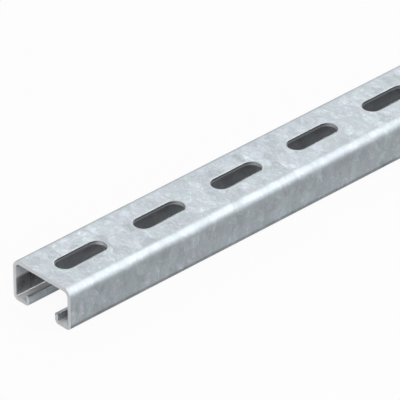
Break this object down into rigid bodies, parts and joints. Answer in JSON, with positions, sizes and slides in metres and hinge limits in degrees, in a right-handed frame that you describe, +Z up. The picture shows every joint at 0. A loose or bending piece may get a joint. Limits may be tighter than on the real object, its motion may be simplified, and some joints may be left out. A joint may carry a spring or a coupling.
{
  "type": "strut channel",
  "caption": "Roll-formed galvanised steel mounting rail of C section, with in-turned lips for channel nuts and a slotted web for bolts.",
  "frame": {"origin": "on the floor under the middle of the rail, in the plane of the lips' undersides", "axes": "+X along the rail, +Y across it to the left flange, +Z up from the lips to the web"},
  "size_m": [0.5, 0.04, 0.0225],
  "materials": {
    "galvanised_steel": "strip galvanised, low spangle, semi-matt light grey"
  },
  "bodies": {
    "root": {"strut_channel": "galvanised_steel"}
  },
  "joints": []
}
